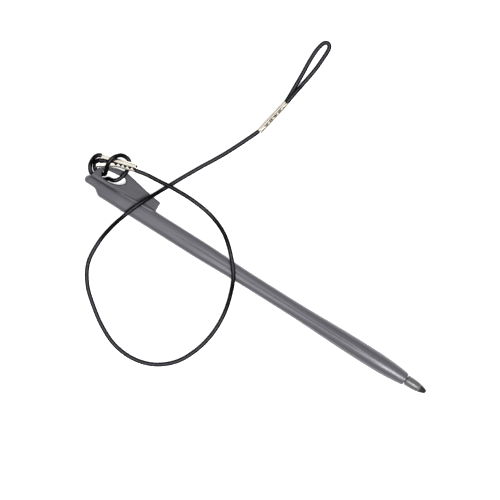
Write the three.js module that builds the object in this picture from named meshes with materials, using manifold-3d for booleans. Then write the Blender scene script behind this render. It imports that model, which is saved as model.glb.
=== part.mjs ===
// A tethered stylus for a hand-held computer, in millimetres, +Z up.
// The stylus lies along X on its flattened underside, nib towards +X, with its lug plate on the +Y side.
// One elastic cord is hitched through the lug's eye, closed by one toothed crimp, and carries a second
// crimp that forms the loop at its far end. The origin is on the underside, under the barrel's axis.
import * as THREE from 'three';
import { mergeVertices } from 'three/addons/utils/BufferGeometryUtils.js';
import Module from 'manifold-3d';

const wasm = await Module();
wasm.setup();

// ---- Stylus barrel: lengths along X, from the head end to the nib ----
const headEndX = -62.5;
const tabLength = 3.9;
const shoulderLength = 3.1;
const headLength = 32.9;
const taperLength = 21.7;
const waistLength = 12.4;
const swellLength = 26.4;
const bulgeLength = 4.7;
const noseLength = 12.1;
const rimLength = 0.5;

// ---- Stylus barrel: half-widths, half-heights and section shape ----
const axisHeight = 2.35;
const tabHalfWidthLugSide = 1.5;
const tabHalfWidthPlainSide = 1.2;
const tabHalfHeight = 2.2;
const tabEndRadius = 1.4;
const lugSideTaperLength = 17;
const headHalfWidth = 2.85;
const headHalfHeight = 2.75;
const headHeightRise = 6;
const waistRadius = 2.42;
const bulgeRadius = 2.93;
const noseRadius = 2.15;
const rimRadius = 1.98;
const headSectionPower = 3.2;
const roundSectionPower = 2;
const sectionSides = 48;

// ---- Lug plate with its eye ----
const lugStart = 1.2;
const lugLength = 23.3;
const lugReach = 8.2;
const lugUnderside = 1.7;
const lugThickness = 1.5;
const lugEndDrop = 0.45;
const lugEdgeRound = 0.25;
const lugRoot = 0.8;
const lugOutline = [
  [0.006, 0.195], [0.009, 0.293], [0.021, 0.476], [0.043, 0.61], [0.086, 0.707], [0.167, 0.854],
  [0.249, 0.941], [0.365, 1], [0.442, 0.976], [0.545, 0.922], [0.803, 0.78], [1, 0.707],
];
const lugSquareEnd = 0.985;
const eyeLength = 7.8;
const eyeWidth = 3.6;
const eyeFromHead = 3.75;
const eyeFromAxis = 2.75;
const eyeOutline = [
  [0, 0.42], [0.05, 0.14], [0.2, 0.02], [0.42, 0.03], [0.67, 0.14], [0.88, 0.36],
  [1, 0.68], [0.955, 0.92], [0.86, 1], [0.58, 0.94], [0.285, 0.84], [0.07, 0.7],
];

// ---- Nib: a grey cone on a shank, with a black point on a pin of its own ----
const fitGap = 0.3;
const nibBaseRadius = 1.69;
const nibLength = 5;
const shankRadius = 1.1;
const shankLength = 9;
const pointLength = 1.85;
const pointTipRadius = 0.45;
const pinRadius = 0.4;
const pinLength = 3;
const roundSides = 40;

// ---- Elastic cord and its two crimps ----
const cordDiameter = 1.35;
const cordSides = 8;
const cordFaceGap = 0.3;
const crimpWidth = 2.7;
const crimpHeight = 1.9;
const crimpTeeth = 5;
const toothPitch = 1.7;
const toothWidth = 0.8;
const toothStart = 2.6;
const channelOffset = 0.7;
const nearCrimp = { start: [-61.2, 7.85, 3.1], end: [-50.5, 10.85, 5.4], roll: 0, seamTilt: 0, seamFloor: 0.6 };
const farCrimp = { start: [-24.3, 41.0, 1.38], end: [-22.05, 52.95, 1.38], roll: 105, seamTilt: 25, seamFloor: 0.9 };

// The cord's free stretches, each a list of points that the cord's middle follows.
const nearLoopRoute = [
  [-61.72, 8.48, 3.02], [-62.6, 8.1, 2.75], [-63.28, 7.05, 2.25], [-63.3, 4.3, 1.05], [-61.8, 2.35, 0.72],
  [-60, 2.15, 0.71], [-58, 2.3, 0.71], [-56.95, 2.85, 0.77], [-56.2, 3.55, 1.3], [-55.15, 3.75, 3.2],
  [-54.4, 3.95, 3.95], [-53.6, 4.6, 4.2], [-53, 5.6, 4.13], [-52.5, 7.6, 3.95], [-52.47, 8.7, 3.56],
  [-52.6, 10.4, 2.86], [-54.05, 11.95, 2.93], [-56.4, 11.9, 3.8], [-58.1, 10, 5.44], [-58.5, 8.6, 5.56],
  [-58.5, 7.3, 5.18], [-58.2, 6.15, 4.56], [-57.9, 5.1, 3.88], [-57.85, 4.2, 1.75], [-58.5, 3.8, 0.9],
  [-60.5, 3.8, 0.73], [-61.35, 4.25, 0.85], [-61.9, 5.2, 1.25], [-61.97, 6.05, 1.8], [-61.5, 6.95, 2.88],
];
const runRoute = [
  [-50.03, 10.26, 5.46], [-47, 10.86, 5.33], [-42.9, 11.25, 4.33], [-36.61, 11.78, 2.5],
  [-29.73, 11.79, 0.98], [-23.03, 10.84, 1.2], [-16.81, 8.38, 3.35], [-11.61, 4.13, 5.48],
  [-7.29, -1.07, 5.64], [-4.7, -7.08, 3.05], [-3.25, -13.35, 0.98], [-3.16, -20.39, 0.72],
  [-4.67, -27.03, 0.72], [-7.93, -33.26, 0.7], [-13.32, -37.75, 0.7], [-19.8, -39.68, 0.7],
  [-26.81, -39.16, 0.7], [-33.06, -36.47, 0.7], [-38.91, -32.51, 0.7], [-44.17, -27.79, 0.7],
  [-47.52, -21.96, 0.74], [-48.18, -14.96, 0.95], [-47.27, -8.66, 3.2], [-45.5, -2.8, 5.72],
  [-44.2, 0.8, 6], [-42.5, 4.6, 4.9], [-40.04, 9.68, 2.28], [-36.99, 15.83, 0.86], [-33.81, 21.87, 0.74],
  [-30.37, 28.06, 0.7], [-27.4, 34.2, 0.7], [-24.6, 40.7, 0.7],
];
const farLoopRoute = [
  [-22.18, 53.28, 0.72], [-22.15, 54.6, 0.7], [-22.3, 58.8, 0.7], [-22.45, 63.2, 0.7], [-22.7, 67.2, 0.7],
  [-22.75, 70.8, 0.7], [-22.55, 72.9, 0.7], [-22.2, 74.3, 0.7], [-21.72, 75.2, 0.7], [-20.95, 75.6, 0.7],
  [-20.12, 75.25, 0.7], [-19.68, 74.4, 0.7], [-19.55, 73.1, 0.7], [-19.6, 70.6, 0.7], [-19.75, 67.4, 0.7],
  [-20.2, 63.7, 0.72], [-20.75, 60.3, 0.92], [-21.15, 57.7, 1.62], [-21.5, 55.4, 2.03],
  [-21.82, 53.2, 2.06],
];
const nearLoopSteps = 25;
const runSteps = 45;
const farLoopSteps = 14;
const tailLength = 0.5;

// ---- Places along X, worked out from the lengths above ----
const shoulderX = headEndX + tabLength;
const headX = shoulderX + shoulderLength;
const taperX = headX + headLength;
const waistX = taperX + taperLength;
const swellX = waistX + waistLength;
const bulgeX = swellX + swellLength;
const noseX = bulgeX + bulgeLength;
const rimX = noseX + noseLength;
const barrelEndX = rimX + rimLength;
const nibX = barrelEndX + fitGap;
const nibEndX = nibX + nibLength;
const pointX = nibEndX + fitGap;

const smooth = (x, start, end) => THREE.MathUtils.smoothstep(x, start, end);
const mix = THREE.MathUtils.lerp;

// ---- Solids: three.js geometry to manifold and back ----
function toSolid(geometry) {
  const bare = geometry.clone();
  bare.deleteAttribute('normal');
  bare.deleteAttribute('uv');
  const merged = mergeVertices(bare, 1e-4);
  return new wasm.Manifold(new wasm.Mesh({
    numProp: 3,
    vertProperties: new Float32Array(merged.attributes.position.array),
    triVerts: new Uint32Array(merged.index.array),
  }));
}

function toGeometry(solid) {
  const mesh = solid.getMesh();
  const geometry = new THREE.BufferGeometry();
  geometry.setAttribute('position', new THREE.BufferAttribute(mesh.vertProperties, 3));
  geometry.setIndex(new THREE.BufferAttribute(mesh.triVerts, 1));
  geometry.computeVertexNormals();
  return geometry;
}

// A turned piece about the barrel's axis, from [x, radius] points that start and end on the axis.
function turned(profile, sides) {
  const geometry = new THREE.LatheGeometry(profile.map(([x, radius]) => new THREE.Vector2(radius, x)), sides);
  geometry.rotateZ(-Math.PI / 2);
  geometry.translate(0, 0, axisHeight);
  return geometry;
}

// ---- Barrel ----
// Half-width of the round part of the barrel: head, taper, waist, swell, bulge and nose.
function barrelHalfSize(x, headSize) {
  if (x > noseX) {
    const along = Math.min((x - noseX) / noseLength, 1);
    return mix(bulgeRadius, noseRadius, along * along);
  }
  const waisted = mix(headSize, waistRadius, smooth(x, taperX, waistX));
  return mix(waisted, bulgeRadius, smooth(x, swellX, bulgeX));
}

function rimFactor(x) {
  return x > rimX ? rimRadius / noseRadius : 1;
}

// The section at x: its half-width on each side, its half-height and how square it is.
function sectionAt(x) {
  const opening = smooth(x, shoulderX, headX);
  const widening = smooth(x, headX, headX + lugSideTaperLength);
  const rising = smooth(x, headEndX + tabEndRadius, headX + headHeightRise);
  const fromEnd = Math.min((x - headEndX) / tabEndRadius, 1);
  const rounding = Math.sqrt(1 - (1 - fromEnd) ** 2) * rimFactor(x);
  const fullWidth = barrelHalfSize(x, headHalfWidth);
  return {
    plainSide: mix(tabHalfWidthPlainSide, fullWidth, opening) * rounding,
    lugSide: mix(tabHalfWidthLugSide, fullWidth, widening) * rounding,
    halfHeight: mix(tabHalfHeight, barrelHalfSize(x, headHalfHeight), rising) * rounding,
    power: mix(headSectionPower, roundSectionPower, smooth(x, taperX, bulgeX)),
  };
}

function stationsBetween(start, end, count) {
  return Array.from({ length: count }, (_, index) => mix(start, end, index / count));
}

function barrelStations() {
  const roundEnd = [0, 0.03, 0.12, 0.27, 0.47, 0.72].map((part) => headEndX + part * tabEndRadius);
  return [
    ...roundEnd,
    ...stationsBetween(headEndX + tabEndRadius, shoulderX, 2),
    ...stationsBetween(shoulderX, headX, 5),
    ...stationsBetween(headX, taperX, 10),
    ...stationsBetween(taperX, waistX, 7),
    waistX,
    ...stationsBetween(swellX, bulgeX, 7),
    bulgeX,
    ...stationsBetween(noseX, rimX, 8),
    rimX,
    barrelEndX,
  ];
}

// The barrel's skin: a turned tube whose rings are pressed into the sections and cut flat underneath.
function barrelSkin() {
  const rings = barrelStations();
  const profile = rings.map((x, index) => [x, index === 0 ? 0 : 1]);
  profile.push([barrelEndX, 0]);
  const geometry = turned(profile, sectionSides);
  const position = geometry.attributes.position;
  for (let index = 0; index < position.count; index += 1) {
    const x = position.getX(index);
    const across = position.getY(index);
    const up = position.getZ(index) - axisHeight;
    const section = sectionAt(x);
    const reach = Math.hypot(across, up) || 1;
    const size = Math.abs(across / reach) ** section.power + Math.abs(up / reach) ** section.power;
    const squared = size ** (-1 / section.power);
    const halfWidth = across > 0 ? section.lugSide : section.plainSide;
    position.setY(index, across * squared * halfWidth);
    position.setZ(index, Math.max(axisHeight + up * squared * section.halfHeight, 0));
  }
  return geometry;
}

// The eye's outline, closed and smooth, from its shape in parts of its length and width.
function eyePath() {
  const points = eyeOutline.map(([along, out]) => new THREE.Vector3(
    headEndX + eyeFromHead + along * eyeLength,
    eyeFromAxis + out * eyeWidth,
    0,
  ));
  const ring = new THREE.CatmullRomCurve3(points, true);
  const hole = new THREE.Path();
  hole.setFromPoints(ring.getPoints(points.length * 3).map((point) => new THREE.Vector2(point.x, point.y)));
  return hole;
}

function lugShape() {
  const atLug = ([along, out]) => new THREE.Vector2(headEndX + lugStart + along * lugLength, out * lugReach);
  const shape = new THREE.Shape();
  const edge = new THREE.SplineCurve(lugOutline.map(atLug)).getPoints(36);
  const squareEnd = headEndX + lugStart + lugSquareEnd * lugLength;
  const root = new THREE.Vector2(headEndX + lugStart + lugRoot, lugRoot);
  shape.setFromPoints([root, ...edge, new THREE.Vector2(squareEnd, lugRoot)]);
  shape.holes.push(eyePath());
  return shape;
}

// The lug plate: flat underneath, and a little thinner towards its square end.
function lugPlate() {
  const geometry = new THREE.ExtrudeGeometry(lugShape(), {
    depth: lugThickness - 2 * lugEdgeRound,
    bevelEnabled: true,
    bevelThickness: lugEdgeRound,
    bevelSize: lugEdgeRound,
    bevelOffset: -lugEdgeRound,
    bevelSegments: 2,
  });
  geometry.translate(0, 0, lugUnderside + lugEdgeRound);
  const position = geometry.attributes.position;
  for (let index = 0; index < position.count; index += 1) {
    const along = (position.getX(index) - headEndX - lugStart) / lugLength;
    const up = (position.getZ(index) - lugUnderside) / lugThickness;
    position.setZ(index, position.getZ(index) - Math.max(along, 0) * up * lugEndDrop);
  }
  return geometry;
}

function nibBore() {
  const boreRadius = shankRadius + fitGap;
  const boreEnd = nibX - shankLength - fitGap;
  const beyond = barrelEndX + 1;
  return turned([[boreEnd, 0], [boreEnd, boreRadius], [beyond, boreRadius], [beyond, 0]], roundSides);
}

function barrelGeometry() {
  const body = toSolid(barrelSkin());
  return toGeometry(body.add(toSolid(lugPlate())).subtract(toSolid(nibBore())));
}

// ---- Nib and point ----
// The cone's outline is part of one ogive that the black point carries on to its round tip.
function ogiveRadius(x) {
  const along = (x - nibX) / (pointX + pointLength - nibX);
  return mix(nibBaseRadius, pointTipRadius, along ** 3.2);
}

function nibGeometry() {
  const outside = stationsBetween(nibX, nibEndX, 6).map((x) => [x, ogiveRadius(x)]);
  const holeRadius = pinRadius + fitGap;
  const holeEnd = pointX - pinLength - fitGap;
  return turned([
    [nibX - shankLength, 0],
    [nibX - shankLength, shankRadius],
    [nibX, shankRadius],
    ...outside,
    [nibEndX, ogiveRadius(nibEndX)],
    [nibEndX, holeRadius],
    [holeEnd, holeRadius],
    [holeEnd, 0],
  ], roundSides);
}

function pointGeometry() {
  const tipStart = pointX + pointLength - pointTipRadius;
  const outside = stationsBetween(pointX, tipStart, 4).map((x) => [x, ogiveRadius(x)]);
  const roundTip = [0, 30, 60].map((degrees) => {
    const angle = THREE.MathUtils.degToRad(degrees);
    return [tipStart + pointTipRadius * Math.sin(angle), ogiveRadius(tipStart) * Math.cos(angle)];
  });
  return turned([
    [pointX - pinLength, 0],
    [pointX - pinLength, pinRadius],
    [pointX, pinRadius],
    ...outside,
    ...roundTip,
    [pointX + pointLength, 0],
  ], roundSides);
}

// ---- Cord ----
function cordTube(points, steps) {
  const section = new THREE.Shape();
  section.absarc(0, 0, cordDiameter / 2, 0, Math.PI * 2);
  const curve = new THREE.CatmullRomCurve3(points.map((point) => new THREE.Vector3(...point)));
  return new THREE.ExtrudeGeometry(section, {
    steps,
    curveSegments: cordSides,
    extrudePath: curve,
    bevelEnabled: false,
  });
}

// ---- Crimps: a toothed metal strip folded round two cords, its seam along the top ----
function crimpBasis(crimp) {
  const start = new THREE.Vector3(...crimp.start);
  const end = new THREE.Vector3(...crimp.end);
  const along = end.clone().sub(start);
  const length = along.length();
  along.normalize();
  const across = new THREE.Vector3(0, 0, 1).cross(along).normalize();
  const up = along.clone().cross(across);
  return { start, along, across, up, length };
}

function crimpBar(length) {
  const straight = (crimpWidth - crimpHeight) / 2;
  const section = new THREE.Shape();
  section.absarc(straight, 0, crimpHeight / 2, -Math.PI / 2, Math.PI / 2);
  section.absarc(-straight, 0, crimpHeight / 2, Math.PI / 2, 3 * Math.PI / 2);
  const bar = new THREE.ExtrudeGeometry(section, { depth: length, steps: 1, curveSegments: 10, bevelEnabled: false });
  bar.applyMatrix4(new THREE.Matrix4().makeBasis(
    new THREE.Vector3(0, 1, 0),
    new THREE.Vector3(0, 0, 1),
    new THREE.Vector3(1, 0, 0),
  ));
  return bar;
}

// One gap in the seam between two teeth: a three-sided pocket whose base faces one flap, then the other.
function toothGap(index, seamFloor) {
  const side = index % 2 === 0 ? 1 : -1;
  const middle = toothStart + index * toothPitch;
  const triangle = new THREE.Shape();
  triangle.moveTo(middle - toothWidth / 2, -side * toothWidth / 3);
  triangle.lineTo(middle + toothWidth / 2, -side * toothWidth / 3);
  triangle.lineTo(middle, side * toothWidth / 2);
  triangle.closePath();
  const pocket = new THREE.ExtrudeGeometry(triangle, { depth: crimpWidth, bevelEnabled: false });
  pocket.translate(0, 0, seamFloor);
  return pocket;
}

// A crimp turned about its own length by its roll, with its seam tilted off the top towards its right side.
function crimpGeometry(crimp) {
  const { start, along, across, up, length } = crimpBasis(crimp);
  const bar = crimpBar(length).rotateX(THREE.MathUtils.degToRad(crimp.roll));
  let solid = toSolid(bar);
  for (let index = 0; index < crimpTeeth; index += 1) {
    const pocket = toothGap(index, crimp.seamFloor).rotateX(THREE.MathUtils.degToRad(crimp.seamTilt));
    solid = solid.subtract(toSolid(pocket));
  }
  const geometry = toGeometry(solid);
  geometry.applyMatrix4(new THREE.Matrix4().makeBasis(along, across, up).setPosition(start));
  return geometry;
}

// The cord's cut end, just showing past the near crimp beside the long run.
function tailRoute(crimp) {
  const { start, along, across, length } = crimpBasis(crimp);
  return [0, tailLength].map((reach) => start.clone()
    .addScaledVector(along, length + cordFaceGap + reach)
    .addScaledVector(across, channelOffset)
    .toArray());
}

// ---- Finishes and the finished group ----
const finishes = {
  greyBarrel: { color: 0x6b6b71, roughness: 0.42, metalness: 0 },
  greyNib: { color: 0x8c8c8e, roughness: 0.3, metalness: 0 },
  blackNib: { color: 0x17171a, roughness: 0.4, metalness: 0 },
  blackCord: { color: 0x232326, roughness: 0.8, metalness: 0 },
  plainNickel: { color: 0xe8e2d6, roughness: 0.3, metalness: 1 },
};

const stylus = new THREE.Group();

function addPiece(name, geometry, finish) {
  const mesh = new THREE.Mesh(geometry, new THREE.MeshStandardMaterial(finishes[finish]));
  mesh.name = name;
  stylus.add(mesh);
}

addPiece('barrel', barrelGeometry(), 'greyBarrel');
addPiece('nib', nibGeometry(), 'greyNib');
addPiece('nib_point', pointGeometry(), 'blackNib');
addPiece('near_crimp', crimpGeometry(nearCrimp), 'plainNickel');
addPiece('far_crimp', crimpGeometry(farCrimp), 'plainNickel');
addPiece('cord_near_loop', cordTube(nearLoopRoute, nearLoopSteps), 'blackCord');
addPiece('cord_tail', cordTube(tailRoute(nearCrimp), 1), 'blackCord');
addPiece('cord_run', cordTube(runRoute, runSteps), 'blackCord');
addPiece('cord_far_loop', cordTube(farLoopRoute, farLoopSteps), 'blackCord');

export default stylus;
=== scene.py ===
"""A stylus for a hand-held computer with its elastic tether, lit and dressed in a plain studio.

The stylus lies along X on its flattened underside, nib towards +X, its lug plate on the +Y side, +Z up.
Sizes in the classes are in millimetres, as on a drawing, and every mesh is made in metres.
"""
import logging
import math
from dataclasses import dataclass
from enum import Enum

import bpy
import numpy as np
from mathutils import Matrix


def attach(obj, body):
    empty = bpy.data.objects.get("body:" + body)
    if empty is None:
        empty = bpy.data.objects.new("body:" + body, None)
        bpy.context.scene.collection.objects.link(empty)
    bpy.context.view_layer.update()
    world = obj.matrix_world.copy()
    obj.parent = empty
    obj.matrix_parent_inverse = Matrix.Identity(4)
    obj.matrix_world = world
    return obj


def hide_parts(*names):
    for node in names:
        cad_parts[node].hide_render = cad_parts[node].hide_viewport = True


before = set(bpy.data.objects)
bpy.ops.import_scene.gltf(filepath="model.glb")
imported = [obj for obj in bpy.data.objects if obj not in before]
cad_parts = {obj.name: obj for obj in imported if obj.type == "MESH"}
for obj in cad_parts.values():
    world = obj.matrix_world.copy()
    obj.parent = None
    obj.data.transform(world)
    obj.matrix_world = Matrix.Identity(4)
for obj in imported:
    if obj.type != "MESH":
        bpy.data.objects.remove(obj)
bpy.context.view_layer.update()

MM = 0.001
TURN = 2 * math.pi
SPAN_SAMPLES = 40  # fine samples between two points of a curve, before it is sampled evenly
LUG_ROOT = ((-53.0, 1.6), (-38.4, 2.5))  # the two ends of the line of the lug's root, in X and Y
LOG = logging.getLogger("stylus")


# ---- Small tools: colour, curves, meshes and nodes ----
def to_linear(colour: str) -> tuple[float, float, float, float]:
    """Turn an sRGB hex colour into linear light.

    Args:
        colour: Six hex digits, such as "68686e".

    Returns:
        Linear red, green and blue, and an alpha of 1.
    """
    parts = [int(colour[index:index + 2], 16) / 255 for index in (0, 2, 4)]
    red, green, blue = (
        part / 12.92 if part <= 0.04045 else ((part + 0.055) / 1.055) ** 2.4 for part in parts
    )
    return red, green, blue, 1.0


def smooth_step(value: np.ndarray, start: float, end: float) -> np.ndarray:
    """Rise from 0 at start to 1 at end, level at both: 3t^2 - 2t^3 with t held between 0 and 1."""
    share = np.clip((value - start) / (end - start), 0.0, 1.0)
    return share * share * (3 - 2 * share)


def mix(low: np.ndarray, high: np.ndarray, share: np.ndarray) -> np.ndarray:
    """Give low where share is 0, high where it is 1, and a straight blend between."""
    return low + (high - low) * share


def curve_through(points: np.ndarray, spacing: float, closed: bool = False) -> np.ndarray:
    """Pass a centripetal Catmull-Rom curve through points and sample it evenly by length.

    Each span between two points is the Barry-Goldman pyramid of the four points round it, with knots set
    apart by the square root of the distance between points.

    Args:
        points: The points, one row each.
        spacing: The wanted distance between samples.
        closed: True for a ring, whose first sample is not repeated.

    Returns:
        The samples, one row each.
    """
    points = np.asarray(points, dtype=float)
    if closed:
        line = np.vstack([points[-1], points, points[:2]])
    else:
        line = np.vstack([2 * points[0] - points[1], points, 2 * points[-1] - points[-2]])
    gap = np.sqrt(np.linalg.norm(np.diff(line, axis=0), axis=1))
    knots = np.concatenate([[0.0], np.cumsum(gap)])
    share = np.linspace(0, 1, SPAN_SAMPLES, endpoint=False)[None, :, None]
    p0, p1, p2, p3 = (line[index:len(line) - 3 + index, None, :] for index in range(4))
    k0, k1, k2, k3 = (knots[index:len(line) - 3 + index, None, None] for index in range(4))
    at = k1 + share * (k2 - k1)
    a1 = (k1 - at) / (k1 - k0) * p0 + (at - k0) / (k1 - k0) * p1
    a2 = (k2 - at) / (k2 - k1) * p1 + (at - k1) / (k2 - k1) * p2
    a3 = (k3 - at) / (k3 - k2) * p2 + (at - k2) / (k3 - k2) * p3
    b1 = (k2 - at) / (k2 - k0) * a1 + (at - k0) / (k2 - k0) * a2
    b2 = (k3 - at) / (k3 - k1) * a2 + (at - k1) / (k3 - k1) * a3
    dense = ((k2 - at) / (k2 - k1) * b1 + (at - k1) / (k2 - k1) * b2).reshape(-1, line.shape[1])
    dense = np.vstack([dense, line[1] if closed else line[-2]])
    length = np.concatenate([[0.0], np.cumsum(np.linalg.norm(np.diff(dense, axis=0), axis=1))])
    count = max(int(round(length[-1] / spacing)), 4)
    wanted = np.linspace(0, length[-1], count + 1)
    even = np.column_stack([np.interp(wanted, length, dense[:, axis]) for axis in range(line.shape[1])])
    return even[:-1] if closed else even


def grid_piece(
    name: str,
    grid: np.ndarray,
    sharp_angle: float = 40.0,
    wrap: bool = True,
    caps: bool = True,
    along_mm: np.ndarray | None = None,
) -> bpy.types.Object:
    """Make a mesh object from a grid of points, in millimetres.

    Row i and column j of the grid is one vertex, and each cell is one face. A wrapped grid joins its last
    column to its first, and caps close its first and last rows with a point at their middle.

    Args:
        name: The piece's name.
        grid: Points of shape (rows, columns, 3).
        sharp_angle: Edges that turn more than this many degrees stay crisp.
        wrap: Whether the columns close into a ring.
        caps: Whether the two ends are closed.
        along_mm: Length along the piece at each row, for a UV map that runs along it.

    Returns:
        The new object, with its mesh in metres.
    """
    rows, columns, _ = grid.shape
    index = np.arange(rows * columns).reshape(rows, columns)
    after = np.roll(index, -1, axis=1) if wrap else index[:, 1:]
    here = index if wrap else index[:, :-1]
    quads = np.stack([here[:-1], after[:-1], after[1:], here[1:]], axis=-1).reshape(-1, 4)
    points = grid.reshape(-1, 3)
    faces: list = quads.tolist()
    if caps:
        points = np.vstack([points, grid[0].mean(axis=0), grid[-1].mean(axis=0)])
        first, last = rows * columns, rows * columns + 1
        near = np.stack([np.full(columns, first), after[0], here[0]], axis=-1)
        far = np.stack([np.full(columns, last), here[-1], after[-1]], axis=-1)
        faces += near.tolist() + far.tolist()
    mesh = bpy.data.meshes.new(name)
    mesh.from_pydata((points * MM).tolist(), [], faces)
    mesh.update()
    if along_mm is not None:
        add_running_uv(mesh, along_mm, columns, rows)
    mesh.shade_smooth()
    mesh.set_sharp_from_angle(angle=math.radians(sharp_angle))
    piece = bpy.data.objects.new(name, mesh)
    bpy.context.scene.collection.objects.link(piece)
    return piece


def add_running_uv(mesh: bpy.types.Mesh, along_mm: np.ndarray, columns: int, rows: int) -> None:
    """Give a tube a UV map: U is the length along it in millimetres, V goes once round from 0 to 1.

    Args:
        mesh: The tube's mesh, whose first faces are its grid of quads, ring by ring.
        along_mm: Length along the tube at each ring.
        columns: Vertices in each ring.
        rows: Rings.
    """
    layer = mesh.uv_layers.new(name="UVMap")
    ring, place = np.divmod(np.arange((rows - 1) * columns), columns)
    u_low, u_high = along_mm[ring], along_mm[ring + 1]
    v_low, v_high = place / columns, (place + 1) / columns
    corners = np.stack([
        np.stack([u_low, v_low], axis=-1), np.stack([u_low, v_high], axis=-1),
        np.stack([u_high, v_high], axis=-1), np.stack([u_high, v_low], axis=-1),
    ], axis=1).reshape(-1, 2)
    cap = np.zeros((len(mesh.loops) - len(corners), 2))
    layer.data.foreach_set("uv", np.vstack([corners, cap]).ravel())


def add_node(
    tree: bpy.types.NodeTree,
    kind: str,
    inputs: dict | None = None,
    **settings: object,
) -> bpy.types.Node:
    """Add one node with its settings, numbers and links.

    Args:
        tree: The node tree that it goes into.
        kind: The node's type after "ShaderNode", such as "Bump".
        inputs: Values or output sockets by input name or number.
        settings: The node's own properties.

    Returns:
        The new node.
    """
    node = tree.nodes.new("ShaderNode" + kind)
    for key, value in settings.items():
        setattr(node, key, value)
    fill(node, inputs or {})
    return node


def fill(node: bpy.types.Node, inputs: dict) -> None:
    """Fill a node's inputs.

    Args:
        node: The node.
        inputs: By input name or number, a number or colour to set, or an output socket to link.
    """
    for key, value in inputs.items():
        if isinstance(value, bpy.types.NodeSocket):
            node.id_data.links.new(value, node.inputs[key])
        else:
            node.inputs[key].default_value = value


def new_material(name: str) -> tuple[bpy.types.Material, bpy.types.NodeTree, bpy.types.Node]:
    """Start a material, and give it, its node tree and its main shader."""
    material = bpy.data.materials.new(name)
    material.use_nodes = True
    return material, material.node_tree, material.node_tree.nodes["Principled BSDF"]


def object_mm(
    tree: bpy.types.NodeTree,
    stretch: tuple[float, float, float] = (1, 1, 1),
) -> bpy.types.NodeSocket:
    """Give Object coordinates in millimetres, multiplied along each axis by stretch."""
    place = add_node(tree, "TexCoord").outputs["Object"]
    scale = tuple(part / MM for part in stretch)
    return add_node(tree, "Mapping", {"Vector": place, "Scale": scale}).outputs["Vector"]


def dress(piece: bpy.types.Object, material: bpy.types.Material) -> None:
    """Put one material on the whole of a piece."""
    piece.data.materials.clear()
    piece.data.materials.append(material)


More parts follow.
